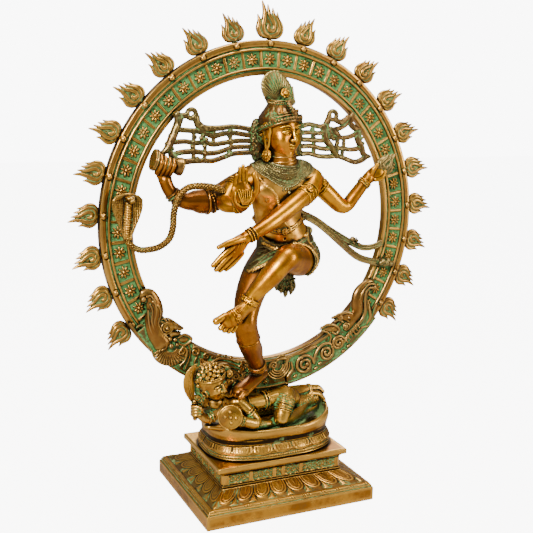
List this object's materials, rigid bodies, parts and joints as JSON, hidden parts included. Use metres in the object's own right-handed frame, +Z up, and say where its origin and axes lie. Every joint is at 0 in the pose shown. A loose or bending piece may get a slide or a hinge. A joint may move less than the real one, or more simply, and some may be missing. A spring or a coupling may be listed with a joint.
{
  "type": "brass dancing figure in a flaming arch",
  "caption": "Patinated brass statue of a four-armed dancer on one leg over a small demon, framed by a ring of flames and standing on a stepped rectangular lotus plinth.",
  "frame": {"origin": "on the floor, at the centre of the plinth's rectangular footprint", "axes": "+Z up, the figure faces -Y, the viewer's right is +X"},
  "size_m": [0.5904, 0.218, 0.7374],
  "materials": {
    "polished_brass": "burnished antique brass with dark recesses",
    "base_brass": "satin antique brass with green in the cut lines",
    "dark_brass": "dark brown patina, rubbed bright on the high points",
    "verdigris_brass": "green verdigris left in the recesses, brass on the ridges",
    "fixing_steel": "plain steel, hidden inside the base"
  },
  "bodies": {
    "root": {"plinth_foot": "base_brass", "plinth_dado": "verdigris_brass", "plinth_cap": "base_brass", "lotus_pedestal": "base_brass", "tie_rod": "fixing_steel", "tie_strap": "dark_brass", "tie_nut": "fixing_steel", "arch_bolt_left": "fixing_steel", "arch_bolt_right": "fixing_steel", "arch_post": "dark_brass", "arch_ring": "verdigris_brass", "makara_left": "dark_brass", "makara_right": "dark_brass", "flame_01": "polished_brass", "flame_02": "polished_brass", "flame_03": "polished_brass", "flame_04": "polished_brass", "flame_05": "polished_brass", "flame_06": "polished_brass", "flame_07": "polished_brass", "flame_08": "polished_brass", "flame_09": "polished_brass", "flame_10": "polished_brass", "flame_11": "polished_brass", "flame_12": "polished_brass", "flame_13": "polished_brass", "flame_14": "polished_brass", "flame_15": "polished_brass", "flame_16": "polished_brass", "flame_17": "polished_brass", "flame_18": "polished_brass", "flame_19": "polished_brass", "flame_20": "polished_brass", "flame_21": "polished_brass", "demon_body": "dark_brass", "demon_head": "dark_brass", "demon_sword": "polished_brass", "demon_shield": "polished_brass", "torso": "polished_brass", "hip_cloth": "verdigris_brass", "leg_standing": "polished_brass", "leg_raised": "polished_brass", "cloth_tail": "verdigris_brass", "head": "polished_brass", "crown": "polished_brass", "crest_fan": "verdigris_brass", "hair_wing_left": "verdigris_brass", "hair_wing_right": "verdigris_brass", "arm_blessing": "polished_brass", "arm_drum": "polished_brass", "arm_fire": "polished_brass", "arm_across": "polished_brass", "drum": "polished_brass", "hand_flame": "polished_brass", "sash_upper": "polished_brass", "sash_lower": "polished_brass", "cobra": "verdigris_brass"}
  },
  "joints": []
}
